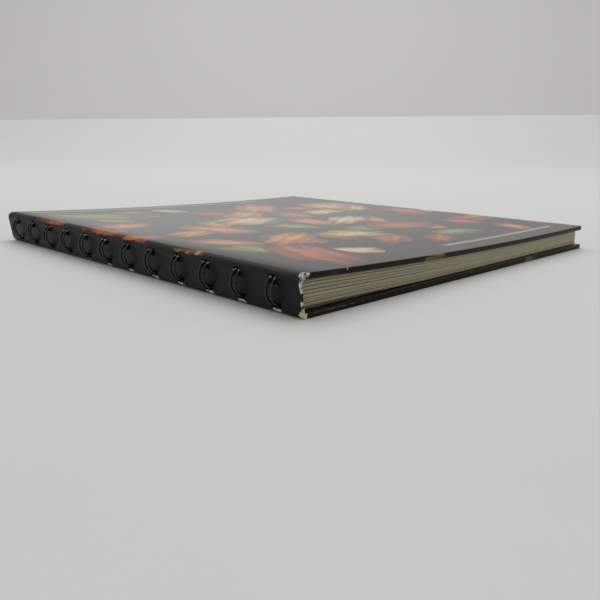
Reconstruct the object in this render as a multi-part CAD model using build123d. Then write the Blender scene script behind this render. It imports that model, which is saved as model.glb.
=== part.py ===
from build123d import *
import os
from math import acos, atan, ceil, cos, degrees, floor, hypot, radians, sin, sqrt

# Wire-bound hardcover book, lying on its back cover with the front cover up.
# Frame: X runs from the spine to the fore edge, Y from tail to head, Z up.
# The origin is at the middle of the bottom of the whole book's box.

# Case sizes, in millimetres and degrees
book_height = 235.0
cover_width = 228.6
spine_height = 16.3
spine_lean = 2.35
head_shoulder_radius = 3.0
foot_shoulder_radius = 2.4
board_thickness = 1.8
wrap_thickness = 0.25
liner_thickness = 0.2
paste_thickness = 0.03
card_thickness = 0.9
card_curl = 42.0
turn_in = 4.0
corner_radius = 1.6
edge_break = 0.3
edge_break_limit = 1.2

# Front cover: how steeply it falls from its hinge, and how gently it is dished
front_fall = 2.6
front_dish_radius = 3700.0

# Binding wire sizes
wire_diameter = 1.0
loop_pitch = 19.05
loop_width = 3.5
loop_bulge = 3.6
loop_end_margin = 10.0
link_bend_radius = 1.2
seam_gap = 30.0
wire_sides = 6
ring_flats = 15
bend_flat_turn = 30.0

# Page block sizes
page_square = 2.6
page_fan_length = 70.0

# Clearances
ring_headroom = 1.95
slot_clearance = 0.3
head_slot_slack = 1.7
foot_slot_slack = 0.7
link_spine_clearance = 1.54
board_ring_clearance = 0.5
page_ring_clearance = 0.25
page_hole_clearance = 0.4
page_spine_clearance = 0.5
cover_clearance = 0.3

# Sizes that follow from those above
cover_thickness = wrap_thickness + board_thickness + wrap_thickness
rim_break = min(edge_break, edge_break_limit * wrap_thickness)
lean = spine_lean / spine_height
lean_cosine = 1 / hypot(1, lean)
spine_thickness = (wrap_thickness + card_thickness) / lean_cosine
wire_radius = wire_diameter / 2
ring_outer = spine_height / 2 - ring_headroom
ring_radius = ring_outer - wire_radius
ring_flat_angle = (360 - seam_gap) / ring_flats
ring_inner = ring_radius * cos(radians(ring_flat_angle / 2)) - wire_radius
ring_inset = ring_outer - loop_bulge
ring_z = spine_height / 2 + lean * ring_inset
link_reach = hypot(ring_radius, link_bend_radius)
link_aside = spine_thickness - ring_inset + lean * ring_radius + link_spine_clearance + wire_radius
link_drop = sqrt(link_reach**2 - link_aside**2)
seam_start = degrees(atan(link_bend_radius / ring_radius) - acos(link_aside / link_reach))
seam_end = seam_start + 360 - seam_gap
fore_x = (cover_width + lean * ring_z + loop_bulge) / 2
spine_foot_x = fore_x - cover_width
tail_y = -book_height / 2
loop_count = floor((book_height - 2 * loop_end_margin - loop_width) / loop_pitch) + 1
loop_ys = [loop_pitch * (index - (loop_count - 1) / 2) for index in range(loop_count)]


# Section helpers: a point of the section is (x, z), and the section runs along the spine


def polar(center, radius, angle):
    """The point of a circle at an angle from the X axis."""
    return (
        center[0] + radius * cos(radians(angle)),
        center[1] + radius * sin(radians(angle)),
    )


def run(start, middle, end):
    """An edge through three points: an arc, or a line where they don't bend."""
    a, m, b = (Vector(x, 0, z) for x, z in (start, middle, end))
    if (m - a).cross(b - a).length < 1e-6:
        return Line(a, b)
    return ThreePointArc(a, m, b)


def arc_points(center, radius, start, end):
    """The first, middle and last point of an arc between two angles."""
    return [polar(center, radius, angle) for angle in (start, (start + end) / 2, end)]


def line(start, end):
    return Line((start[0], 0, start[1]), (end[0], 0, end[1]))


def along_spine(edges, inset):
    """The solid that a closed section sweeps out from tail to head, set in at both ends."""
    length = book_height - 2 * inset
    return Pos(0, tail_y + inset, 0) * extrude(Face(Wire(edges)), length, dir=(0, 1, 0))


def spine_x(z):
    """X of the spine's outside at a height, as the spine leans out towards the top."""
    return spine_foot_x - lean * z


def shoulder_center(radius, z):
    """The middle of a shoulder that is tangent to the spine's outside."""
    return (spine_x(z) + radius / lean_cosine, z)


ring_x = spine_x(ring_z) + ring_inset
spine_angle = 180 + degrees(atan(lean))
foot_angle = 270.0
head_angle = 90.0 - front_fall
foot_center = shoulder_center(foot_shoulder_radius, foot_shoulder_radius)
head_center = shoulder_center(head_shoulder_radius, spine_height - head_shoulder_radius)
front_hinge = polar(head_center, head_shoulder_radius, head_angle)
back_hinge = polar(foot_center, foot_shoulder_radius, foot_angle)
dish_center = polar(front_hinge, front_dish_radius, head_angle)


# Covers


def front_point(place, depth):
    """A point of the dished front cover, this far from its hinge and under its outside."""
    angle = head_angle + 180 + degrees(place / front_dish_radius)
    return polar(dish_center, front_dish_radius + depth, angle)


def back_point(place, depth):
    """A point of the flat back cover, this far from its hinge and above its outside."""
    return (back_hinge[0] + place, back_hinge[1] + depth)


def is_upright(edge):
    return abs(edge.tangent_at(0.5).Z) > 0.9


class Cover:
    """A board in its paper wrap, with a liner inside and a paper strip up to the hinge."""

    def __init__(self, point, hinge, inside_rise):
        reach = ring_outer + board_ring_clearance
        self.point = point
        self.length = fore_x - back_hinge[0]
        self.start = ring_x + sqrt(max(reach**2 - inside_rise**2, 0)) - hinge[0]

    def stretch(self, start, end, depth):
        middle = (start + end) / 2
        return run(*(self.point(place, depth) for place in (start, middle, end)))

    def layer(self, start, end, depth, thickness, inset):
        """A layer of the cover between two depths, set in from head and tail."""
        inner = depth + thickness
        edges = [
            self.stretch(start, end, depth),
            line(self.point(end, depth), self.point(end, inner)),
            self.stretch(end, start, inner),
            line(self.point(start, inner), self.point(start, depth)),
        ]
        return along_spine(edges, inset)

    def rounded(self, solid, inset):
        """Rounds the two fore-edge corners, less what lies over them."""
        upright = [edge for edge in solid.edges() if is_upright(edge)]
        return fillet(ShapeList(upright).sort_by(Axis.X)[-2:], corner_radius - inset)

    def board(self):
        end = self.length - wrap_thickness
        plain = self.layer(self.start, end, wrap_thickness, board_thickness, wrap_thickness)
        return self.rounded(plain, wrap_thickness)

    def inside(self, gap, thickness):
        """A layer on the inside of the board, within the turned-in margins of the wrap."""
        depth = wrap_thickness + board_thickness + gap
        return self.layer(self.start, self.length - turn_in, depth, thickness, turn_in)

    def liner(self):
        return self.inside(paste_thickness, liner_thickness)

    def wrap(self):
        """Paper round the board: a whole panel with its rim broken, less what it holds."""
        panel = self.rounded(self.layer(self.start, self.length, 0, cover_thickness, 0), 0)
        hinge_side = panel.faces().sort_by(Axis.X)[0].edges()
        rim = [edge for edge in panel.edges() if not is_upright(edge) and edge not in hinge_side]
        panel = chamfer(ShapeList(rim), rim_break)
        strip = self.layer(0, self.start, 0, wrap_thickness, 0)
        return panel + strip - self.board() - self.inside(0, wrap_thickness)


front_drop = ring_outer * sin(radians(front_fall))
front_inside_z = front_hinge[1] - front_drop - cover_thickness
front = Cover(front_point, front_hinge, front_inside_z - ring_z)
back = Cover(back_point, back_hinge, ring_z - cover_thickness)

# Spine


def spine_layer(depth, thickness, foot, head):
    """A layer of the spine that bends round both shoulders, to an angle at each."""
    edges = []
    ends = []
    for inward in (depth, depth + thickness):
        foot_arc = arc_points(foot_center, foot_shoulder_radius - inward, foot, spine_angle)
        head_arc = arc_points(head_center, head_shoulder_radius - inward, spine_angle, head)
        edges += [run(*foot_arc), line(foot_arc[-1], head_arc[0]), run(*head_arc)]
        ends.append((foot_arc[0], head_arc[-1]))
    edges += [line(outer, inner) for outer, inner in zip(*ends)]
    return along_spine(edges, 0)


def slots(depth, thickness):
    """Slots for each loop through one layer of the spine, with slack below the wire."""
    width = loop_width + wire_diameter + 2 * slot_clearance
    spans = []
    for side, slack in ((1, head_slot_slack), (-1, foot_slot_slack)):
        reach = ring_inset + side * lean * ring_radius - depth / lean_cosine
        inner_reach = max(reach - thickness / lean_cosine, 0)
        near = ring_z + side * sqrt(ring_inner**2 - reach**2)
        far = ring_z + side * sqrt(ring_outer**2 - inner_reach**2)
        spans.append((min(near, far) - slack, max(near, far) + slot_clearance))
    return [
        Pos(spine_x((low + high) / 2), y, (low + high) / 2) * Box(2 * loop_bulge, width, high - low)
        for y in loop_ys
        for low, high in spans
    ]


spine_wrap = spine_layer(0, wrap_thickness, foot_angle, head_angle) - slots(0, wrap_thickness)
curl_angles = (spine_angle + card_curl, spine_angle - card_curl)
spine_card = spine_layer(wrap_thickness, card_thickness, *curl_angles)
spine_card -= slots(wrap_thickness, card_thickness)

# Binding wire


def ring_point(angle, y):
    x, z = polar((ring_x, ring_z), ring_radius, angle)
    return Vector(x, y, z)


def ring_heading(angle):
    """Direction of travel round the ring, up through the pages and down outside the spine."""
    return Vector(-sin(radians(angle)), 0, cos(radians(angle)))


def bend(start, along, sideways, turn):
    """Corners of a bend that leaves its start along one way and turns sideways, in flats."""
    flats = ceil(turn / bend_flat_turn)
    angles = [radians(turn * step / flats) for step in range(1, flats + 1)]
    return [start + along * sin(angle) + sideways * (1 - cos(angle)) for angle in angles]


def wire_corners():
    """One wire: round the ring, through a hairpin and back, then along to the next loop.
    Every round stretch is taken in short flats, because the loops are many."""
    half = loop_width / 2
    angles = [seam_start + ring_flat_angle * step for step in range(ring_flats + 1)]
    base = ring_heading(seam_start) * -link_bend_radius
    tip = ring_heading(seam_end) * half
    aside = Vector(0, link_bend_radius, 0)
    corners = []
    for y in loop_ys:
        out = [ring_point(angle, y - half) for angle in angles]
        home = [ring_point(angle, y + half) for angle in reversed(angles)]
        if y > loop_ys[0]:
            corners += reversed(bend(out[0], base, -aside, 90))
        corners += out
        corners += bend(out[-1], tip, Vector(0, half, 0), 180)[:-1]
        corners += home
        if y < loop_ys[-1]:
            corners += bend(home[-1], base, aside, 90)
    return corners


wire_path = Polyline(*wire_corners())
wire_plane = Plane(wire_path @ 0, x_dir=(0, 1, 0), z_dir=wire_path % 0)
wire_section = wire_plane * RegularPolygon(wire_radius, wire_sides, major_radius=False)
binding_wire = sweep(wire_section, wire_path, transition=Transition.RIGHT)

# Page block


def pages():
    """Leaves that fill the space between the covers and, near the spine, the inside of the ring.
    Both ends lean as the spine does."""
    half = ring_inner - page_ring_clearance
    rest_z = cover_thickness + cover_clearance
    over_links_z = ring_z - link_drop + wire_radius + page_ring_clearance
    low_z = max(ring_z - half, rest_z, over_links_z)
    top_z = ring_z + half
    margin_x = ring_x + ring_outer + page_hole_clearance
    spine_gap = spine_thickness + page_spine_clearance / lean_cosine
    fore_lean = fore_x - page_square + lean * rest_z
    top_spine = (spine_x(top_z) + spine_gap, top_z)
    low_spine = (spine_x(low_z) + spine_gap, low_z)
    fan_start = (margin_x, low_z)
    fan_end = (margin_x + page_fan_length, rest_z)
    low_fore = (fore_lean - lean * rest_z, rest_z)
    top_fore = (fore_lean - lean * top_z, top_z)
    level = Vector(1, 0, 0)
    fan = Spline(*(Vector(x, 0, z) for x, z in (fan_start, fan_end)), tangents=[level, level])
    outline = [
        line(top_spine, low_spine),
        line(low_spine, fan_start),
        fan,
        line(fan_end, low_fore),
        line(low_fore, top_fore),
        line(top_fore, top_spine),
    ]
    leaves = along_spine(outline, page_square)
    under_front = front.layer(
        -front.start, front.length, cover_thickness + cover_clearance, spine_height, 0
    )
    hole_start = ring_x + sqrt(ring_inner**2 - half**2) - page_hole_clearance
    hole_length = margin_x - hole_start
    hole = Box(hole_length, loop_width + wire_diameter + 2 * page_hole_clearance, spine_height)
    holes = [Pos(hole_start + hole_length / 2, y, ring_z) * hole for y in loop_ys]
    return (leaves & under_front) - holes


nodes = {
    "spine_wrap": spine_wrap,
    "spine_card": spine_card,
    "binding_wire": binding_wire,
    "page_block": pages(),
    "front_board": front.board(),
    "front_wrap": front.wrap(),
    "front_liner": front.liner(),
    "back_board": back.board(),
    "back_wrap": back.wrap(),
    "back_liner": back.liner(),
}
os.makedirs("parts", exist_ok=True)
for name, shape in nodes.items():
    export_step(shape, f"parts/{name}.step")
print("front hinge at", front_hinge, "and back hinge at", back_hinge)
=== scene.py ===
# %% [markdown]
# # A wire-bound hardcover cookbook
# The book lies on its back cover. A row of twin wire loops comes out of slots in its spine and
# holds the leaves. The solid model of every piece is loaded first and fixes all places and sizes.
# This lesson then adds what the eye looks for: round wire, single leaves, folded cover paper,
# print, gloss and wear.

# %% Load the solid model
from math import atan2, cos, exp, radians, sin, sqrt
from random import Random

import bmesh
import bpy
from bmesh.types import BMEdge, BMVert
from mathutils import Matrix, Vector


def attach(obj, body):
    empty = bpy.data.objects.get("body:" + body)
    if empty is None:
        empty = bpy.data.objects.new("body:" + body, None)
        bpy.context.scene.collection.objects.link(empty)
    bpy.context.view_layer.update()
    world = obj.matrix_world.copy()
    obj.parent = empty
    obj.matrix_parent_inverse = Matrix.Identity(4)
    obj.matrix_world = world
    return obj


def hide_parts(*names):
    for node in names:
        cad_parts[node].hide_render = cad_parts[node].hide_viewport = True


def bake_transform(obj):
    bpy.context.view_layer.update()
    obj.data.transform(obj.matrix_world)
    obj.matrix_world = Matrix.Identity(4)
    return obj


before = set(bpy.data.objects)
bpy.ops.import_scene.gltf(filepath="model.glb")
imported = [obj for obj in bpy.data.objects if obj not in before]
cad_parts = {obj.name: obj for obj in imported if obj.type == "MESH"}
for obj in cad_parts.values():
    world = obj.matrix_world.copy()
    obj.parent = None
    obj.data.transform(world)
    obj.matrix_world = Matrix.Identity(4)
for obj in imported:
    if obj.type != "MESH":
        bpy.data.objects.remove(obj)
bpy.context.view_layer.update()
MM = 0.001
print("pieces of the solid model:", sorted(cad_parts))

# %% [markdown]
# ## Camera
# The place, turn and lens of the camera were worked out from the book's corners in the photograph,
# with the loop spacing as the scale. Setting the three axes of the camera directly keeps its small
# roll.

# %% Camera at the photograph's place
focal_px, photo_px = 668.6, 600
camera_place = Vector((-268.9, -270.7, 61.4)) * MM
yaw, pitch, roll = (radians(angle) for angle in (45.44, 13.89, 0.77))
ahead = Vector((sin(yaw) * cos(pitch), cos(yaw) * cos(pitch), -sin(pitch)))
level = Vector((cos(yaw), -sin(yaw), 0))
above = level.cross(ahead)
right = cos(roll) * level + sin(roll) * above
upward = -sin(roll) * level + cos(roll) * above
turn = Matrix((right, upward, -ahead)).transposed().to_4x4()

camera = bpy.data.objects.new("camera", bpy.data.cameras.new("camera"))
camera.data.sensor_width = 36
camera.data.lens = focal_px * camera.data.sensor_width / photo_px
camera.data.clip_start = 0.01
camera.matrix_world = Matrix.Translation(camera_place) @ turn
bpy.context.collection.objects.link(camera)
bpy.context.scene.camera = camera
bpy.context.scene.view_settings.view_transform = "Standard"
print("lens in mm:", round(camera.data.lens, 2))

# %% [markdown]
# ## Helpers
# Sizes are thought of in millimetres and colours in sRGB hex, as a printer would give them. One
# function turns a hex colour to linear light, one adds a shader node with its settings and links,
# and one starts a material. Materials read the place on the piece in millimetres, so the scale of a
# pattern is simply one over its real size.


# %% Helpers for colours and materials
def linear(code):
    """A hex colour as linear RGBA."""
    shares = [int(code[at : at + 2], 16) / 255 for at in (1, 3, 5)]
    return [s / 12.92 if s <= 0.04045 else ((s + 0.055) / 1.055) ** 2.4 for s in shares] + [1.0]


def add(tree, kind, inputs, **settings):
    """Adds a shader node. An input that is another node's output is linked, and any other is a value."""
    node = tree.nodes.new("ShaderNode" + kind)
    for name, value in settings.items():
        setattr(node, name, value)
    for name, value in inputs.items():
        socket = node.inputs[name]
        if isinstance(value, bpy.types.NodeSocket):
            tree.links.new(value, socket)
        else:
            socket.default_value = value
    return node


def new_material(name, **finish):
    """A node material: its tree, its main shader and the place on the piece in millimetres."""
    material = bpy.data.materials.new(name)
    material.use_nodes = True
    tree = material.node_tree
    shader = tree.nodes["Principled BSDF"]
    for socket, value in finish.items():
        shader.inputs[socket.replace("_", " ")].default_value = value
    place = add(tree, "TexCoord", {}).outputs["Object"]
    place = add(tree, "VectorMath", {0: place, "Scale": 1 / MM}, operation="SCALE").outputs[0]
    return material, tree, shader, place


print("middle grey in linear light:", round(linear("#808080")[0], 3))

# %% [markdown]
# Pieces are built as a bmesh in millimetres. One function picks the vertices or edges out of what a
# bmesh operator gives back. Another puts the finished bmesh in the scene in metres, shaded smooth
# with sharp folds, and lets it ride on a body of the book.

# %% Helpers for pieces
sharp_angle = radians(35)


def only(kinds, parts):
    """Those parts of an operator's result that are of the given kinds."""
    return [part for part in parts if isinstance(part, kinds)]


def new_piece(name, bm, material, body=None):
    """Puts a bmesh made in millimetres into the scene, in metres, and lets it ride on a body."""
    bmesh.ops.scale(bm, verts=bm.verts, vec=(MM, MM, MM))
    bm.edges.index_update()
    rim = [edge.index for edge in bm.edges if edge.is_boundary]
    mesh = bpy.data.meshes.new(name)
    bm.to_mesh(mesh)
    bm.free()
    mesh.materials.append(material)
    mesh.shade_smooth()
    mesh.set_sharp_from_angle(angle=sharp_angle)
    for index in rim:
        mesh.edges[index].use_edge_sharp = True
    piece = bpy.data.objects.new(name, mesh)
    bpy.context.collection.objects.link(piece)
    if body:
        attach(piece, body)
    print(name, "has", len(mesh.polygons), "faces")
    return piece


# %% [markdown]
# ## Stage and light
# The book lies on a pale table in front of a grey wall. Both are painted matt. A faint cloud in the
# table's paint keeps it from looking like one flat colour.

# %% Paint of the table and the wall
# Matt paint scatters light, so the eye sees soft shadows and no mirror image
cloud_size = 50
table_paint, tree, shader, place = new_material("matt white table", Roughness=0.6)
cloud = add(tree, "TexNoise", {"Vector": place, "Scale": 1 / cloud_size, "Detail": 2.0}).outputs["Fac"]
paints = {"Factor": cloud, "A": linear("#dcdcdb"), "B": linear("#e0e0df")}
tone = add(tree, "Mix", paints, data_type="RGBA").outputs["Result"]
tree.links.new(tone, shader.inputs["Base Color"])
wall_paint, tree, shader, place = new_material("matt grey wall", Roughness=0.8)
shader.inputs["Base Color"].default_value = linear("#ecebe9")
print("paints of the stage:", table_paint.name, "and", wall_paint.name)

# %% [markdown]
# The table sweeps up softly behind the book. It is one edge, drawn straight back and then spun
# upwards, so that the sweep leaves the flat without a crease. The wall is a single square.

# %% Table and wall
table_half, table_near, table_depth = 4000, 3000, 4100
sweep_radius, sweep_turn, sweep_tilt = 800, radians(30), 0.0002
wall_half, wall_distance = 6000, 2600
away = Vector((ahead.x, ahead.y, 0)).normalized()
across = Vector((away.y, -away.x, 0))

bm = bmesh.new()
near_edge = [bm.verts.new(across * side * table_half - away * table_near) for side in (-1, 1)]
swept = bmesh.ops.extrude_edge_only(bm, edges=[bm.edges.new(near_edge)])["geom"]
far_edge = only(BMVert, swept)
bmesh.ops.translate(bm, verts=far_edge, vec=away * table_depth)
sweep_middle = far_edge[0].co.project(away) + Vector((0, 0, sweep_radius))
last = only((BMVert, BMEdge), swept)
bmesh.ops.spin(bm, geom=last, cent=sweep_middle, axis=across, angle=sweep_turn, steps=12)
# The sweep is a little higher on the right
for vert in bm.verts:
    vert.co.z *= 1 + sweep_tilt * vert.co.dot(across)
bmesh.ops.recalc_face_normals(bm, faces=bm.faces)
table = new_piece("table", bm, table_paint)

bm = bmesh.new()
bmesh.ops.create_grid(bm, x_segments=1, y_segments=1, size=wall_half)
facing = Matrix((across, Vector((0, 0, 1)), -away)).transposed().to_4x4()
bmesh.ops.transform(bm, matrix=Matrix.Translation(away * wall_distance) @ facing, verts=bm.verts)
wall = new_piece("wall", bm, wall_paint)

# %% [markdown]
# Light comes from all sides, as in a room with white walls. A wide lamp overhead, a little behind the
# book, gives the soft shadow at its foot. A small lamp or a sun would make that shadow hard.

# %% Light
room_strength = 0.65
lamp_size, lamp_energy, lamp_height, lamp_behind = 1.8, 13, 1.4, 0.75
world = bpy.data.worlds.new("room")
world.use_nodes = True
background = world.node_tree.nodes["Background"]
background.inputs["Color"].default_value = linear("#e6e6e4")
background.inputs["Strength"].default_value = room_strength
bpy.context.scene.world = world
lamp = bpy.data.objects.new("overhead lamp", bpy.data.lights.new("overhead lamp", "AREA"))
lamp.data.size = lamp_size
lamp.data.energy = lamp_energy
lamp.location = away * lamp_behind + Vector((0, 0, lamp_height))
bpy.context.collection.objects.link(lamp)
print("lamp at", [round(part, 2) for part in lamp.location], "m")

# %% [markdown]
# ## Printed cover paper
# The case of the book is covered with one sheet of paper, printed in colour on a nearly black ground
# and laminated with a clear film. Print and wear each belong to a place on the book. They are made
# from masks in the book's own millimetres, which stay sharp at any distance and need no picture.

# %% Masks from the place on a piece
half_height = 117.5


def axes(place):
    """The place on the piece as X, Y and Z, and the way from the middle to head or tail."""
    at = add(place.id_data, "SeparateXYZ", {"Vector": place}).outputs
    along = add(place.id_data, "Math", {0: at["Y"]}, operation="ABSOLUTE").outputs[0]
    return at["X"], at["Y"], at["Z"], along


def mask(strength, *ranges):
    """A strength times some ranges. A range goes from 0 at its start to 1 at its end, up or down."""
    for value, start, end in ranges:
        tree = value.id_data
        rise = add(tree, "MapRange", {"Value": value, "From Min": start, "From Max": end}).outputs[0]
        strength = add(tree, "Math", {0: strength, 1: rise}, operation="MULTIPLY").outputs[0]
    return strength


print("head and tail are", 2 * half_height, "mm apart")

# %% [markdown]
# The print is a plain pattern of vegetables. Each kind has three tones, from its lit middle to its
# dark rim. A ramp with hard steps picks the kind by chance, so that one small group of nodes can
# draw them all.

# %% Tones of the vegetables
# For each kind: its share of the places, and its tones from the middle to the rim
kinds = {
    "onion": (0.1, "#e8d9ba", "#c49c76", "#78442a"),
    "squash": (0.33, "#dd9a50", "#b5662c", "#5c2c12"),
    "greens": (0.14, "#98a05c", "#667038", "#2c331a"),
    "potato": (0.14, "#e6cc98", "#b88c56", "#644022"),
    "pepper": (0.29, "#c0693b", "#923f22", "#471a10"),
}
tone_steps = ((0.15, 0.65), (0.65, 1.0))


def vegetable_tone(tree, pick, level):
    """The tone of a picked kind at a level, which is 0 in its middle and 1 at its rim."""
    tones = []
    for number in range(3):
        ramp = add(tree, "ValToRGB", {"Fac": pick})
        ramp.color_ramp.interpolation = "CONSTANT"
        at = 0
        for share, *shades in kinds.values():
            stop = ramp.color_ramp.elements.new(at) if at else ramp.color_ramp.elements[0]
            stop.color = linear(shades[number])
            at += share
        tones.append(ramp.outputs[0])
    tone = tones[0]
    for (start, end), outer in zip(tone_steps, tones[1:]):
        blend = {"Factor": mask(1.0, (level, start, end)), "A": tone, "B": outer}
        tone = add(tree, "Mix", blend, data_type="RGBA").outputs["Result"]
    return tone


print("kinds of vegetables:", ", ".join(kinds))

# %% [markdown]
# A Voronoi pattern cuts the sheet into cells, and every cell holds one vegetable that is turned,
# sized and coloured by chance. This needs far fewer nodes than a field of colour for each of them.
# The margins at head and tail stay free, because only vegetables whose middle lies clear of them are
# printed.

# %% Scattered vegetables
oval_stretch, size_range = (1.9, 3.3), (1.35, 0.85)
rib_turns, rib_depth = 10.0, 0.18
printed_ys = (-97, 90)


def scatter(tree, place, skin, under, spacing, shift):
    """Mixes one vegetable into each cell of a scattered pattern, over the print so far."""
    moved = add(tree, "VectorMath", {0: place, 1: shift}, operation="ADD").outputs[0]
    pattern = {"Vector": moved, "Scale": 1 / spacing, "Randomness": 0.75}
    cells = add(tree, "TexVoronoi", pattern, voronoi_dimensions="2D").outputs
    chances = add(tree, "SeparateColor", {"Color": cells["Color"]}).outputs
    # The place in a cell, turned, drawn out to an oval and scaled
    own = add(tree, "VectorMath", {0: moved, 1: cells["Position"]}, operation="SUBTRACT").outputs[0]
    angle = add(tree, "Math", {0: chances["Red"], 1: radians(360)}, operation="MULTIPLY").outputs[0]
    own = add(tree, "VectorRotate", {"Vector": own, "Angle": angle}, rotation_type="Z_AXIS").outputs[0]
    oval = (oval_stretch[0] / spacing, oval_stretch[1] / spacing, 0)
    own = add(tree, "VectorMath", {0: own, 1: oval}, operation="MULTIPLY").outputs[0]
    sizes = {"Value": chances["Green"], "To Min": size_range[0], "To Max": size_range[1]}
    size = add(tree, "MapRange", sizes).outputs[0]
    own = add(tree, "VectorMath", {0: own, "Scale": size}, operation="SCALE").outputs[0]
    reach = add(tree, "VectorMath", {0: own}, operation="LENGTH").outputs["Value"]
    # Ribs along each one, and a slightly uneven skin
    ribs = add(tree, "SeparateXYZ", {"Vector": own}).outputs["Y"]
    ribs = add(tree, "Math", {0: ribs, 1: rib_turns}, operation="MULTIPLY").outputs[0]
    ribs = add(tree, "Math", {0: ribs}, operation="SINE").outputs[0]
    depth = add(tree, "Math", {0: ribs, 1: rib_depth, 2: reach}, operation="MULTIPLY_ADD").outputs[0]
    depth = add(tree, "Math", {0: depth, 1: skin}, operation="ADD").outputs[0]
    tone = vegetable_tone(tree, chances["Blue"], depth)
    # The margins stay free
    middle = add(tree, "SeparateXYZ", {"Vector": cells["Position"]}).outputs["Y"]
    low, high = (shift[1] + y for y in printed_ys)
    inside = mask(1.0, (middle, low - 1, low), (middle, high + 1, high), (reach, 1.01, 0.96))
    blend = {"Factor": inside, "A": under, "B": tone}
    return add(tree, "Mix", blend, data_type="RGBA").outputs["Result"]


print("vegetables have their middle at Y", printed_ys)

# %% [markdown]
# Two such patterns of other spacing lie one over the other, so that vegetables overlap as in a heap.
# A ripple in the place keeps their outlines from being plain ovals, and a finer noise roughens their
# skin.

# %% Heaped vegetables
patterns = ((36, (211, 95, 0)), (52, (33, 170, 0)))
ripple_length, ripple_height = 16.667, 12.0
skin_grain, skin_depth = 3.333, 0.35


def vegetables(tree, place, colour):
    """Two sizes of scattered vegetables over a ground colour, with rippled outlines."""
    waves = {"Vector": place, "Scale": 1 / ripple_length, "Detail": 2.5}
    ripple = add(tree, "TexNoise", waves).outputs["Color"]
    ripple = add(tree, "VectorMath", {0: ripple, 1: (0.5, 0.5, 0.5)}, operation="SUBTRACT").outputs[0]
    ripple = add(tree, "VectorMath", {0: ripple, "Scale": ripple_height}, operation="SCALE").outputs[0]
    rippled = add(tree, "VectorMath", {0: place, 1: ripple}, operation="ADD").outputs[0]
    skin = add(tree, "TexNoise", {"Vector": place, "Scale": 1 / skin_grain, "Detail": 3.0}).outputs["Fac"]
    skin = add(tree, "MapRange", {"Value": skin, "To Min": -skin_depth, "To Max": skin_depth}).outputs[0]
    for spacing, shift in patterns:
        colour = scatter(tree, rippled, skin, colour, spacing, shift)
    return colour


print("spacings of the vegetables in mm:", [spacing for spacing, shift in patterns])

# %% [markdown]
# The clear film gives the cover its even gloss: seen at a low angle, it mirrors the room as a grey
# veil. Where film and ink are rubbed off, the paper or another tone shows. Masks say where that may
# be. Noise is added to them before a steep step, so that each worn place has a ragged outline.

# %% Laminated print and what rubs it off
dent_size = 2.857
steep_step = (0.98, 1.06)


def laminated_print(name, inks, roughness):
    """Ink on paper under clear film. Returns the parts that a print and wear are added to."""
    material, tree, shader, place = new_material(name, Roughness=roughness, IOR=1.45)
    cloud = add(tree, "TexNoise", {"Vector": place, "Scale": 1 / cloud_size, "Detail": 3.0}).outputs["Fac"]
    ground = {"Factor": cloud, "A": linear(inks[0]), "B": linear(inks[1])}
    colour = add(tree, "Mix", ground, data_type="RGBA").outputs["Result"]
    # The film is slightly uneven, which blurs what it mirrors
    dent = add(tree, "TexNoise", {"Vector": place, "Scale": 1 / dent_size, "Detail": 3.0}).outputs["Fac"]
    uneven = add(tree, "Bump", {"Height": dent, "Strength": 0.05, "Distance": MM})
    tree.links.new(uneven.outputs[0], shader.inputs["Normal"])
    return material, tree, shader, place, colour


def wear_or_glint_tone(tree, shader, place, colour, tone, grain, *masks):
    """Lets a tone show where one of the masks is high, ragged by a grain: wear, and on the wire a painted
    glint. Returns the colour.
    """
    worn = masks[0]
    for other in masks[1:]:
        worn = add(tree, "Math", {0: worn, 1: other}, operation="MAXIMUM").outputs[0]
    noise = {"Vector": place, "Scale": 1 / grain, "Detail": 5.0, "Roughness": 0.7}
    ragged = add(tree, "TexNoise", noise).outputs["Fac"]
    worn = add(tree, "Math", {0: worn, 1: ragged}, operation="ADD").outputs[0]
    blend = {"Factor": mask(1.0, (worn, *steep_step)), "A": colour, "B": linear(tone)}
    colour = add(tree, "Mix", blend, data_type="RGBA").outputs["Result"]
    tree.links.new(colour, shader.inputs["Base Color"])
    return colour


print("wear shows where mask and noise add up to", steep_step)

# %% [markdown]
# The front carries the vegetables and two pairs of cream rules, one near the head and one near the
# tail, and the back is plain. A rule is a long box in the place, so it is the same from end to end.

# %% Front and back print
# The eye sees dark ink under gloss: the front shines a little more than the back
front_print, tree, shader, place, colour = laminated_print(
    "laminated colour print", ("#100c0a", "#211712"), 0.28
)
back_parts = laminated_print("laminated dark print", ("#100c0a", "#1a1310"), 0.4)
back_print = back_parts[0]
# Middle and half size of each rule
rules = ((-20, 109, 84, 0.7), (-20, 106.8, 84, 0.25), (48, -105, 54, 0.7), (48, -102.8, 54, 0.25))
any_height = 1e5

colour = vegetables(tree, place, colour)
for x, y, half_long, half_wide in rules:
    box = {"Location": (x, y, 0), "Scale": (half_long, half_wide, any_height)}
    own = add(tree, "Mapping", {"Vector": place, **box}, vector_type="TEXTURE").outputs[0]
    own = add(tree, "VectorMath", {0: own}, operation="ABSOLUTE").outputs[0]
    sides = add(tree, "SeparateXYZ", {"Vector": own}).outputs
    reach = add(tree, "Math", {0: sides["X"], 1: sides["Y"]}, operation="MAXIMUM").outputs[0]
    blend = {"Factor": mask(1.0, (reach, 1.02, 0.98)), "A": colour, "B": linear("#cfc8b4")}
    colour = add(tree, "Mix", blend, data_type="RGBA").outputs["Result"]
front_parts = front_print, tree, shader, place, colour
print(len(rules), "rules on", front_print.name)

# %% [markdown]
# The film still shines on the flat of the covers. It is gone at the very edges and fades where the
# cover bends at the hinge. The edges of both boards have fine scuffs and a green bit of print that
# runs over the tail edge. The back one has a thin pale line too, and the front one a nick and a bare
# corner. Noise drawn out along the edge makes scuffs that look rubbed and not splashed.

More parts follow.
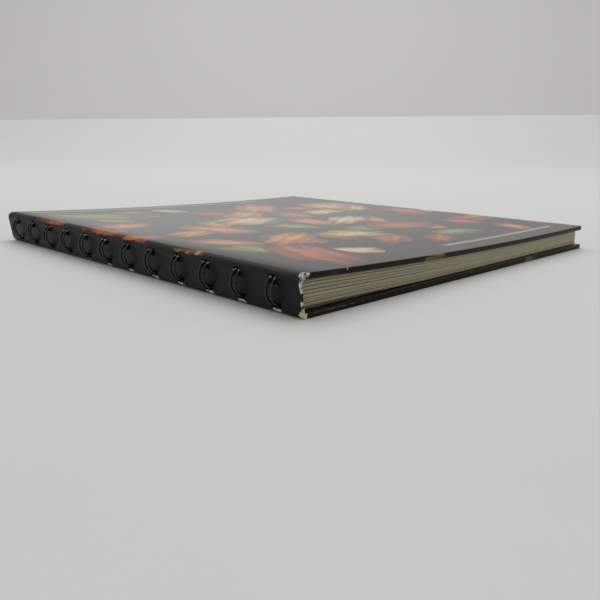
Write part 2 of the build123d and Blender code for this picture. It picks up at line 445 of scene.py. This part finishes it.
# %% Wear of the board edges
nick, bare_corner = (-89, -half_height, 15), (-110, -half_height, 16)
stroke_length, stroke_height = 10, 0.4545
stroke_scale = (1 / stroke_length, 1 / stroke_length, 1 / stroke_height)
green_ends = ((front_parts, (-48, -18)), (back_parts, (41, 66)))
green_fade = 9

for (material, tree, shader, place, colour), (green_start, green_end) in green_ends:
    x, y, z, along = axes(place)
    film = mask(0.8, (along, half_height - 0.15, half_height - 0.7), (x, -115, -100))
    tree.links.new(film, shader.inputs["Coat Weight"])
    shader.inputs["Coat Roughness"].default_value = 0.22
    shader.inputs["Specular IOR Level"].default_value = 0.12
    strokes = add(tree, "Mapping", {"Vector": place, "Scale": stroke_scale}).outputs[0]
    at_edge = (along, half_height - 0.3, half_height - 0.1)
    scuffs = mask(0.42, at_edge, (x, 60, -100))
    colour = wear_or_glint_tone(tree, shader, strokes, colour, "#3f382e", 1.0, scuffs)
    pale_line = mask(0.5, (z, 1.4, 1.55), (z, 1.8, 1.65), at_edge, (x, -45, -85))
    colour = wear_or_glint_tone(tree, shader, place, colour, "#8b857a", 2.0, pale_line)
    over_tail = (y, 1.7 - half_height, 0.3 - half_height)
    fades = (x, green_start, green_start + green_fade), (x, green_end, green_end - green_fade)
    green = mask(0.52, *fades, over_tail)
    colour = wear_or_glint_tone(tree, shader, strokes, colour, "#6d6d33", 0.5, green)
    bare = []
    for spot, rim, core in ((nick, 0.9, 0.4), (bare_corner, 3.2, 1.0)):
        distance = add(tree, "VectorMath", {0: place, 1: spot}, operation="DISTANCE").outputs["Value"]
        bare.append(mask(0.56, (distance, rim, core)))
    wear_or_glint_tone(tree, shader, place, colour, "#c9c4b4", 0.909, *bare)
    print(material.name, "is worn at its edges")

# %% [markdown]
# The spine is plain black. The print of the front runs over its shoulder and ends there in an
# uneven line, because the sheet was printed as a whole and bent afterwards. Noise added to the
# height draws that line.

# %% Print of the spine
# The eye sees a black that is duller than the covers, since hands hold the book here
spine_print, tree, shader, place, colour = laminated_print(
    "laminated black print", ("#0b0e0d", "#121715"), 0.42
)
shader.inputs["Specular IOR Level"].default_value = 0.25
_, y, z, along = axes(place)
tooth_length, tooth_height = 4, 2.4
teeth = add(tree, "TexNoise", {"Vector": place, "Scale": 1 / tooth_length, "Detail": 3.0}).outputs["Fac"]
lowest = add(tree, "Math", {0: teeth, 1: tooth_height, 2: z}, operation="MULTIPLY_ADD").outputs[0]
run_over = mask(1.0, (lowest, 16.1, 16.5))
blend = {"Factor": run_over, "A": colour, "B": vegetables(tree, place, colour)}
colour = add(tree, "Mix", blend, data_type="RGBA").outputs["Result"]
print(spine_print.name, "has the run-over of the front print")

# %% [markdown]
# The spine is the most worn part. Its two ends are rubbed white in patches, the shoulder most of
# all, the card shows yellow at the foot, and paper has chipped off below the slots, where the wire
# pulls. A crease runs slantwise over the shoulder near the tail. Each kind of wear has a mask of its
# own, and the chips repeat with the loops.

# %% Wear of the spine
loop_pitch, loop_count = 19.05, 12
loop_ys = [loop_pitch * (index - (loop_count - 1) / 2) for index in range(loop_count)]
speck = (-113.4, -105.6, 10.8)
crease_slope, crease_height = 0.108, 26.8

from_first = add(tree, "Math", {0: y, 1: -loop_ys[0]}, operation="ADD").outputs[0]
from_loop = add(tree, "Math", {0: from_first, 1: loop_pitch / 2}, operation="PINGPONG").outputs[0]
from_speck = add(tree, "VectorMath", {0: place, 1: speck}, operation="DISTANCE").outputs["Value"]
at_end = (along, half_height - 1.1, half_height - 0.1)
bare = [
    mask(0.53, at_end, (z, 8.2, 6.0)),
    mask(0.53, at_end, (z, 8.0, 9.8)),
    mask(0.54, (along, half_height - 4.1, half_height - 0.9), (z, 12.6, 15.4)),
    mask(0.52, (along, half_height - 2.5, half_height - 0.6), (z, 3.2, 1.4)),
    mask(0.56, (from_loop, 3.4, 2.0), (z, 0.2, 0.7), (z, 2.5, 2.0), (y, 117, 0)),
    mask(0.47, (from_speck, 1.3, 0.5)),
]
colour = wear_or_glint_tone(tree, shader, place, colour, "#cfcdbd", 1.667, *bare)
slanted = add(tree, "Math", {0: y, 1: -crease_slope, 2: z}, operation="MULTIPLY_ADD").outputs[0]
aside = add(tree, "Math", {0: slanted, 1: crease_height}, operation="SUBTRACT").outputs[0]
aside = add(tree, "Math", {0: aside}, operation="ABSOLUTE").outputs[0]
crease = mask(0.55, (aside, 0.3, 0.1), (y, -96, -102))
colour = wear_or_glint_tone(tree, shader, place, colour, "#3a3d3b", 2.0, crease)
foot = mask(0.64, (along, half_height - 3.7, half_height - 0.9), (z, 5.2, 1.8))
wear_or_glint_tone(tree, shader, place, colour, "#cdcaa4", 2.0, foot)
print(spine_print.name, "has", len(bare), "masks of bare paper")

# %% [markdown]
# ## Binding wire
# The wire is steel with baked enamel. It is worn grey here and there, and where it enters the upper slots
# it is painted bright, as a painted glint of light. A clear coat over a nearly black base gives the thin,
# sharp highlight that makes the wire look round.

# %% Enamel
# The eye sees a black, shiny wire with one bright line along it
enamel, tree, shader, place = new_material(
    "black enamelled steel wire",
    Roughness=0.3,
    Specular_IOR_Level=0.08,
    Coat_Weight=0.85,
    Coat_Roughness=0.04,
)
rub_size = 1.111
rub = add(tree, "TexNoise", {"Vector": place, "Scale": 1 / rub_size, "Detail": 4.0}).outputs["Fac"]
tones = {"Factor": mask(1.0, (rub, 0.62, 0.75)), "A": linear("#0a0b0b"), "B": linear("#2b2a28")}
colour = add(tree, "Mix", tones, data_type="RGBA").outputs["Result"]
_, _, z, _ = axes(place)
# Painted highlight: the wire is painted pale where it enters the upper slots, as the glint of light there
glint_at_slot = mask(0.5, (z, 12.4, 13.0), (z, 13.9, 13.4))
wear_or_glint_tone(tree, shader, place, colour, "#b9b6ad", 0.8333, glint_at_slot)
print("wire finish:", enamel.name)

# %% [markdown]
# A machine bends the real wire round a ring, through a hairpin, back round the ring and along to the
# next loop. The same four moves shape it here: a small circle is spun about the ring's middle, about
# the hairpin's middle, back again, and then through two bends and a straight run. So the wire is one
# tube from end to end, which a row of separate rings would not be.

# %% Moves of the wire
ring_middle = Vector((-110.515, 0, 8.525))
ring_radius, wire_radius = 5.7, 0.5
loop_half, link_bend = 1.75, 1.2
seam_start, seam_turn = radians(-63.97), radians(330)
seam_end = seam_start + seam_turn
ring_steps, hairpin_steps, bend_steps = 34, 10, 5


def outward(angle):
    """The direction at an angle, seen along the book's Y."""
    return Vector((cos(angle), 0, sin(angle)))


def at_ring(angle, y):
    """A point in the middle of the wire on its way round the ring."""
    return ring_middle + Vector((ring_radius * cos(angle), y, ring_radius * sin(angle)))


def moves_of_loop(y):
    """The bends of one loop as middle, axis, angle and steps, and the link to the next loop."""
    moves = [
        (ring_middle, Vector((0, -1, 0)), seam_turn, ring_steps),
        (at_ring(seam_end, y), -outward(seam_end), radians(180), hairpin_steps),
        (ring_middle, Vector((0, 1, 0)), seam_turn, ring_steps),
    ]
    if y < loop_ys[-1]:
        corner = at_ring(seam_start, y + loop_half + link_bend)
        next_corner = at_ring(seam_start, y + loop_pitch - loop_half - link_bend)
        moves.append((corner, outward(seam_start), radians(90), bend_steps))
        moves.append(next_corner - corner)
        moves.append((next_corner, outward(seam_start), radians(90), bend_steps))
    return moves


def grow(bm, ring, move):
    """Draws the open end of the wire along a straight run or round a bend. Returns the new end."""
    if isinstance(move, Vector):
        grown = bmesh.ops.extrude_edge_only(bm, edges=only(BMEdge, ring))["geom"]
        bmesh.ops.translate(bm, verts=only(BMVert, grown), vec=move)
        return only((BMVert, BMEdge), grown)
    middle, axis, angle, steps = move
    return bmesh.ops.spin(bm, geom=ring, cent=middle, axis=axis, angle=angle, steps=steps)["geom_last"]


print("moves of the first loop:", len(moves_of_loop(loop_ys[0])))

# %% [markdown]
# Each loop of the real wire is a little narrower at its tip than at its foot, so that it slips
# through the slots. The finished tube is drawn in there, because spins alone keep both legs of a loop
# the same way apart.

# %% Bent wire
narrow_by, narrow_from, narrow_over = 0.5, radians(120), radians(90)
seam_margin = 0.35

bm = bmesh.new()
first = bmesh.ops.create_circle(bm, segments=10, radius=wire_radius)["verts"]
bmesh.ops.rotate(bm, verts=first, cent=(0, 0, 0), matrix=Matrix.Rotation(-seam_start, 3, "Y"))
bmesh.ops.translate(bm, verts=first, vec=at_ring(seam_start, loop_ys[0] - loop_half))
ring = bm.verts[:] + bm.edges[:]
wire_ends = [only(BMEdge, ring)]
for y in loop_ys:
    for move in moves_of_loop(y):
        ring = grow(bm, ring, move)
wire_ends.append(only(BMEdge, ring))
for end in wire_ends:
    bmesh.ops.contextual_create(bm, geom=end)
for vert in bm.verts:
    angle = atan2(vert.co.z - ring_middle.z, vert.co.x - ring_middle.x)
    angle = (angle - seam_start + seam_margin) % radians(360)
    narrow = narrow_by * min(max((angle - narrow_from) / narrow_over, 0), 1)
    aside = vert.co.y - min(loop_ys, key=lambda y: abs(vert.co.y - y))
    vert.co.y -= narrow * min(max(aside / loop_half, -1), 1)
bmesh.ops.recalc_face_normals(bm, faces=bm.faces)
wire = new_piece("wire_loops", bm, enamel, "spine")
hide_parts("binding_wire")

# %% [markdown]
# ## Leaves
# The leaves are cream, uncoated paper, slightly browned. At their cut edges, fine lines of painted shade
# stand for the gaps between the leaves, and this painted shade is darker near the spine, where the leaves
# stand open. Noise drawn out along the edge gives such lines at any scale. The punched edge behind the wire
# is painted dark, as the shade that falls there; the paper itself is cream.

# %% Book paper
# The eye sees matt cream paper with no shine, and fine grey lines of painted shade where it is cut
leaf_half = 114.9
mottle_size, line_length, line_height = 20, 100, 0.1111
line_scale = (1 / line_length, 1 / line_length, 1 / line_height)
leaf_paper, tree, shader, place = new_material("uncoated book paper", Roughness=0.85)
mottle = add(tree, "TexNoise", {"Vector": place, "Scale": 1 / mottle_size, "Detail": 3.0}).outputs["Fac"]
tones = {"Factor": mottle, "A": linear("#d1c8ad"), "B": linear("#c2b89b")}
tone = add(tree, "Mix", tones, data_type="RGBA").outputs["Result"]
# Painted shade: fine dark lines at the cut edges stand for the gaps between leaves, painted darker towards
# the spine
drawn_out = add(tree, "Mapping", {"Vector": place, "Scale": line_scale}).outputs[0]
gap_shade_lines = add(tree, "TexNoise", {"Vector": drawn_out, "Scale": 1.0, "Detail": 3.0}).outputs["Fac"]
shades = {"Factor": gap_shade_lines, "A": linear("#8a8270"), "B": linear("#ffffff")}
gap_shade_streak = add(tree, "Mix", shades, data_type="RGBA").outputs["Result"]
x, _, _, along = axes(place)
gap_shade_near_spine = {"Value": x, "From Min": 110, "From Max": -110, "To Min": 0.42, "To Max": 0.74}
strength = add(tree, "MapRange", gap_shade_near_spine).outputs[0]
shaded_cut_edges = {0: mask(1.0, (along, leaf_half - 0.5, leaf_half - 0.2)), 1: mask(1.0, (x, 112.5, 112.8))}
cut = add(tree, "Math", shaded_cut_edges, operation="MAXIMUM").outputs[0]
cut = add(tree, "Math", {0: cut, 1: strength}, operation="MULTIPLY").outputs[0]
gap_shaded = {"Factor": cut, "A": tone, "B": gap_shade_streak}
colour = add(tree, "Mix", gap_shaded, data_type="RGBA", blend_type="MULTIPLY").outputs["Result"]
# Painted shade: the punched edge lies in shadow behind the wire, so the cream paper is painted dark there
shaded_punched_edge = {"Factor": mask(0.9, (x, -109.9, -110.2)), "A": colour, "B": linear("#1f1b16")}
colour = add(tree, "Mix", shaded_punched_edge, data_type="RGBA").outputs["Result"]
tree.links.new(colour, shader.inputs["Base Color"])
print("finish of the leaves:", leaf_paper.name)

# %% [markdown]
# A punched block of leaves is loose at the spine and pressed tight at the fore edge. Forty sheets
# stand for the leaves. A few wider gaps between them open towards the spine, as in a book that has
# been read. The height of a sheet is worked out from the gaps below it, so that no two can cross.

# %% Heights of the leaves
dish_middle, dish_radius = Vector((57.21, 0, 3712.49)), 3700.0
cover_thickness, cover_gap, shoulder_height = 2.3, 0.3, 13.3
leaf_count, leaf_pitch, leaf_thickness = 40, 0.17, 0.16
wire_x, dip_length, height_at_wire, dip = -103.9, 70, 3.72, 1.1
wave_size, wave_turns, least_gap = 0.3, 0.02, 0.01
spine_x = -110

chance = Random(5)
open_leaves = (1, 4, 7, 11, 17, 22, 28, 34, 37)
gaps = [(leaf, chance.uniform(0.8, 1.3), chance.uniform(60, 140)) for leaf in open_leaves]


def under_cover(x):
    """Height of the top of the leaves under the dished front cover."""
    reach = dish_radius + cover_thickness + cover_gap
    under = dish_middle.z - sqrt(reach**2 - (x - dish_middle.x) ** 2)
    return min(under, shoulder_height)


def over_cover(x):
    """Height of the lowest leaf, which dips from the wire to the back cover."""
    t = min(max((x - wire_x) / dip_length, 0), 1)
    return height_at_wire - dip * t * t * (3 - 2 * t)


def leaf_height(number, x, y):
    """Height of a leaf: the leaves below it and its share of the gaps, which close away from the spine."""
    spare = under_cover(x) - over_cover(x) - leaf_count * leaf_pitch
    reach = max(x - spine_x, 0)
    open_parts = []
    for leaf, width, length in gaps:
        wave = 1 + wave_size * sin(y * wave_turns + leaf)
        open_parts.append(width * wave * exp(-((reach / length) ** 2)) + least_gap)
    below = sum(part for part, (leaf, _, _) in zip(open_parts, gaps) if leaf < number)
    return over_cover(x) + number * leaf_pitch + spare * below / sum(open_parts)


print("top leaf at the spine:", round(leaf_height(leaf_count - 1, spine_x, 0), 2), "mm")

# %% [markdown]
# Real leaves are all cut and punched alike. One flat grid is made with lines at the sides of the
# holes, and the faces in the holes are taken out. Every sheet is a copy of it, lifted to its height,
# leant with the spine and slipped a little by chance.

# %% Forty punched leaves
lean, hole_half = 0.14417, 2.65
hole_x, leaf_x = (-109.34, -103.91), (-110.218, 114.49)
slip_x, slip_y = 0.12, 0.1
xs = [leaf_x[0], *hole_x, -95, -84, -72, -60, -45, -30, -10, 12, 40, 70, 95, leaf_x[1]]
ys = [-leaf_half] + [y + side * hole_half for y in loop_ys for side in (-1, 1)] + [leaf_half]

flat = bmesh.new()
bmesh.ops.create_grid(flat, x_segments=len(xs) - 1, y_segments=len(ys) - 1, size=1)
for vert in flat.verts:
    column = round((vert.co.x + 1) / 2 * (len(xs) - 1))
    row = round((vert.co.y + 1) / 2 * (len(ys) - 1))
    vert.co = (xs[column], ys[row], 0)
holes = []
for face in flat.faces:
    middle = face.calc_center_median()
    at_loop = min(abs(middle.y - y) for y in loop_ys) < 0.1
    if hole_x[0] < middle.x < hole_x[1] and at_loop:
        holes.append(face)
bmesh.ops.delete(flat, geom=holes, context="FACES")
leaf_mesh = bpy.data.meshes.new("one leaf")
flat.to_mesh(leaf_mesh)
flat.free()

bm = bmesh.new()
for number in range(leaf_count):
    before = len(bm.verts)
    bm.from_mesh(leaf_mesh)
    bm.verts.ensure_lookup_table()
    slip = Vector((chance.uniform(-slip_x, slip_x), chance.uniform(-slip_y, slip_y), 0))
    for vert in bm.verts[before:]:
        height = leaf_height(number, vert.co.x, vert.co.y)
        # The holes stay where the wire is
        if not hole_x[0] - 1 < vert.co.x < hole_x[1] + 1:
            vert.co.x -= lean * height
        vert.co.z = height
        vert.co += slip
walls = bmesh.ops.extrude_face_region(bm, geom=bm.faces[:])["geom"]
bmesh.ops.translate(bm, verts=only(BMVert, walls), vec=(0, 0, leaf_thickness))
bmesh.ops.recalc_face_normals(bm, faces=bm.faces)
leaves = new_piece("leaves", bm, leaf_paper, "spine")
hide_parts("page_block")

# %% [markdown]
# ## Covers
# The front cover is slightly dished, as boards become when their lining paper shrinks, and the back
# cover is flat. Papers are made as if laid out along their cover and then bent to it. So each cover
# has a function that gives a point by its way from the hinge, its Y and its depth.

# %% Shape of the two covers
front_hinge, back_hinge = Vector((-110.636, 0, 16.297)), Vector((-109.807, 0, 0))
hinge_slope = radians(87.4)
paper_thickness = 0.25


def on_front(way, y, depth):
    """A point of the dished front cover, this far from its hinge and under its outside."""
    angle = hinge_slope + radians(180) + way / dish_radius
    middle = front_hinge + dish_radius * outward(hinge_slope)
    return middle + (dish_radius + depth) * outward(angle) + Vector((0, y, 0))


def on_back(way, y, depth):
    """A point of the flat back cover, this far from its hinge and over its outside."""
    return back_hinge + Vector((way, y, depth))


def bend_to(bm, shape):
    """Moves a sheet made along its cover to its place in the book, with its outside outwards."""
    for vert in bm.verts:
        vert.co = shape(*vert.co)
    bm.normal_update()
    bmesh.ops.recalc_face_normals(bm, faces=bm.faces)
    largest = max(bm.faces, key=lambda face: face.calc_area())
    if largest.normal.dot(shape(0, 0, 0) - shape(0, 0, 1)) < 0:
        bmesh.ops.reverse_faces(bm, faces=bm.faces[:])


def thicken(piece):
    """Gives a sheet the thickness of paper, on its inside."""
    solid = piece.modifiers.new("paper", "SOLIDIFY")
    solid.thickness = paper_thickness * MM
    solid.offset = -1


print("hinge of the front cover at", [round(part, 2) for part in on_front(0, 0, 0)], "mm")

# %% [markdown]
# On a real case the paper is glued round a stiff board and turned in over its edges. The same is
# done here: a block as large as the covered board is opened at the hinge and on the inside, which
# leaves the paper with its turned-in margins. It is then cut across, so that it can follow the dish
# of the cover.

# %% Paper round a board
cover_length, turn_in = 226.52, 4.0
corner_round, rim_round, cover_steps = 1.6, 0.4, 48


def is_rim(edge):
    """An edge between a side of the block and its outside or its turned-in margin."""
    flats = sorted(abs(face.normal.z) for face in edge.link_faces)
    return len(flats) == 2 and flats[0] < 0.5 < flats[1]


def is_corner(edge, start):
    """An upright edge of the block that isn't at the hinge."""
    one, other = edge.verts
    return abs(one.co.z - other.co.z) > 1 and one.co.x > start + 1


def paper_wrap(start):
    """Paper round a board, as a sheet: X is the way from the hinge and Z the depth under the outside."""
    bm = bmesh.new()
    bmesh.ops.create_cube(bm, size=1)
    length = cover_length - start
    bmesh.ops.scale(bm, verts=bm.verts, vec=(length, 2 * half_height, cover_thickness))
    bmesh.ops.translate(bm, verts=bm.verts, vec=((cover_length + start) / 2, 0, cover_thickness / 2))
    hinge_side = min(bm.faces, key=lambda face: face.calc_center_median().x)
    bmesh.ops.delete(bm, geom=[hinge_side], context="FACES")
    inside = max(bm.faces, key=lambda face: face.calc_center_median().z)
    bmesh.ops.inset_region(bm, faces=[inside], thickness=turn_in, use_even_offset=True, use_boundary=False)
    bmesh.ops.delete(bm, geom=[inside], context="FACES")
    corners = [edge for edge in bm.edges if is_corner(edge, start)]
    bmesh.ops.bevel(
        bm, geom=corners, affect="EDGES", offset=corner_round, segments=6, profile=0.5, material=-1
    )
    bm.normal_update()
    rim = [edge for edge in bm.edges if is_rim(edge)]
    bmesh.ops.bevel(bm, geom=rim, affect="EDGES", offset=rim_round, segments=3, profile=0.5, material=-1)
    for cut in range(1, cover_steps):
        at = start + length * cut / cover_steps
        everything = bm.verts[:] + bm.edges[:] + bm.faces[:]
        bmesh.ops.bisect_plane(bm, geom=everything, plane_co=(at, 0, 0), plane_no=(1, 0, 0))
    return bm


print("board and paper are", cover_thickness, "mm thick")

# %% [markdown]
# The paper of each cover starts where its hinge ends. Both are made by the same steps and bent to
# the shape of their own cover. A modifier gives them the thickness of paper, because it keeps folds
# even that a bmesh operator would draw out to spikes.

# %% Paper of the two covers
front_start, back_start = 4.36, 1.77
for name, start, shape, ink, body in (
    ("front_paper", front_start, on_front, front_print, "front_cover"),
    ("back_paper", back_start, on_back, back_print, "back_cover"),
):
    bm = paper_wrap(start)
    bend_to(bm, shape)
    piece = new_piece(name, bm, ink, body)
    thicken(piece)
    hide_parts(name.replace("paper", "wrap"))

# %% [markdown]
# ## Hinges
# Between board and spine the paper is the hinge. On the real book it has no board in it, so it bends as the
# cover opens; here the strip is one fixed piece that rides on no body. At head and tail it is folded in,
# which leaves a soft fold as deep as the board. The strip is a grid whose two ends are drawn down and then
# in, and it turns smoothly from the spine to the cover.

# %% Paper hinges
hinge_steps, fold_in, fold_round = 10, 6, 0.45
no_width = 1e-4


def hinge_strip(width):
    """The strip between hinge line and board with its folded ends, laid out as the cover's paper is."""
    bm = bmesh.new()
    bmesh.ops.create_grid(bm, x_segments=hinge_steps, y_segments=1, size=0.5)
    bmesh.ops.scale(bm, verts=bm.verts, vec=(width, 2 * half_height, 1))
    bmesh.ops.translate(bm, verts=bm.verts, vec=(width / 2, 0, 0))
    for side in (-1, 1):
        ends = [e for e in bm.edges if all(v.co.y * side > half_height - 0.5 for v in e.verts)]
        for move in ((0, 0, cover_thickness), (0, -side * fold_in, 0)):
            grown = bmesh.ops.extrude_edge_only(bm, edges=ends)["geom"]
            ends = [edge for edge in only(BMEdge, grown) if len(edge.link_faces) == 1]
            ends = [e for e in ends if abs(e.verts[0].co.x - e.verts[1].co.x) > no_width]
            bmesh.ops.translate(bm, verts=only(BMVert, grown), vec=move)
    bm.normal_update()
    folds = [edge for edge in bm.edges if is_rim(edge)]
    bmesh.ops.bevel(bm, geom=folds, affect="EDGES", offset=fold_round, segments=3, profile=0.5, material=-1)
    return bm


for name, width, shape, ink, body in (
    ("front_hinge_paper", front_start, on_front, front_print, "front_cover"),
    ("back_hinge_paper", back_start, on_back, back_print, "back_cover"),
):
    bm = hinge_strip(width)
    bend_to(bm, shape)
    piece = new_piece(name, bm, ink, None)
    thicken(piece)
    shape(0, 0, 0) * MM
    shape(width, 0, 0) * MM
    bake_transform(piece)

# %% [markdown]
# ## Ends of the spine
# At head and tail the paper is folded in over the end of the spine too. The fold follows the section
# of the spine, from one hinge round both shoulders to the other. So that section is laid out first,
# as points with the direction that is outwards there.

# %% Section of the spine
spine_turn = radians(188.2)
head_steps, foot_steps, flat_steps = 14, 12, 24
shoulders = (
    (Vector((-110.772, 0, 13.3)), 3.0, hinge_slope, spine_turn, head_steps),
    (Vector((-109.807, 0, 2.4)), 2.4, spine_turn, radians(270), foot_steps),
)
section = []
for middle, radius, start, end, steps in shoulders:
    for step in range(steps + 1):
        normal = outward(start + (end - start) * step / steps)
        section.append((middle + normal * radius, normal))
(upper, normal), (lower, _) = section[head_steps : head_steps + 2]
flat_part = [(upper.lerp(lower, step / flat_steps), normal) for step in range(1, flat_steps)]
section[head_steps + 1 : head_steps + 1] = flat_part
print("section of the spine has", len(section), "points")

# %% [markdown]
# The fold is a grid. One of its sides runs along the section, and the other goes round the edge of
# the paper and into the book. It is as deep as the boards at the two hinges, and as the card between
# them, so that it meets the folds of the hinge papers.

# %% Folded ends
card_depth, head_extra, foot_extra = 1.25, 1.05, 0.95
lift, past_end = 0.02, 0.03
# Way in from the end of the book, and share of the depth
rows = [(1.0, 0.0), (0.3, 0.0), (0.08, 0.08), (0.0, 0.3), (0.0, 1.0), (5.5, 1.0)]


def fold_depth(z):
    """Depth of the fold at a height: as the boards at both hinges, and as the card between them."""
    near_head = min(max((z - 13.5) / 2.5, 0), 1)
    near_foot = min(max((2 - z) / 2, 0), 1)
    return card_depth + head_extra * near_head + foot_extra * near_foot


for name, side in (("spine_tail_fold", -1), ("spine_head_fold", 1)):
    bm = bmesh.new()
    bmesh.ops.create_grid(bm, x_segments=len(section) - 1, y_segments=len(rows) - 1, size=1)
    for vert in bm.verts:
        point, normal = section[round((vert.co.x + 1) / 2 * (len(section) - 1))]
        inset, share = rows[round((vert.co.y + 1) / 2 * (len(rows) - 1))]
        end = Vector((0, side * (half_height + past_end - inset), 0))
        vert.co = point - normal * (share * fold_depth(point.z) - lift) + end
    bmesh.ops.recalc_face_normals(bm, faces=bm.faces)
    new_piece(name, bm, spine_print, "spine")

# %% [markdown]
# ## Finishes of the solid pieces
# The boards, the card in the spine and the sheets pasted inside the covers keep the shapes of the
# solid model. They only need the look of their materials: grey board is pressed from waste paper and
# shows flecks, and lining paper is plain. One kind of noise with other tones and scales does for all.


# %% Board, card and lining paper
def pulp(name, tone, fleck, fleck_size, bump):
    """Paper or board with fibre flecks of a size in millimetres."""
    material, tree, shader, place = new_material(name, Roughness=0.9)
    noise = {"Vector": place, "Scale": 1 / fleck_size, "Detail": 5.0, "Roughness": 0.65}
    fibre = add(tree, "TexNoise", noise).outputs["Fac"]
    flecks = {"Factor": mask(1.0, (fibre, 0.42, 0.7)), "A": linear(tone), "B": linear(fleck)}
    colour = add(tree, "Mix", flecks, data_type="RGBA").outputs["Result"]
    tree.links.new(colour, shader.inputs["Base Color"])
    relief = add(tree, "Bump", {"Height": fibre, "Strength": bump, "Distance": MM * 0.2})
    tree.links.new(relief.outputs[0], shader.inputs["Normal"])
    return material


# The eye sees rough flecked grey in the boards, near black card in the slots, painted dark as the shade
# inside them, and smooth cream inside
finishes = {
    ("front_board", "back_board"): pulp("grey board", "#9b9384", "#77705f", 0.6667, 0.4),
    # Painted shade: the card is painted near black, so that the slots cut through it read as shade
    ("spine_card",): pulp("card painted dark as slot shade", "#1d1b18", "#141311", 0.8333, 0.4),
    ("front_liner", "back_liner"): pulp("lining paper", "#d9d3c2", "#cbc4b0", 2.5, 0.1),
    ("spine_wrap",): spine_print,
}
for nodes, finish in finishes.items():
    for name in nodes:
        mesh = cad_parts[name].data
        mesh.materials.clear()
        mesh.materials.append(finish)
        print(name, "is now", finish.name)
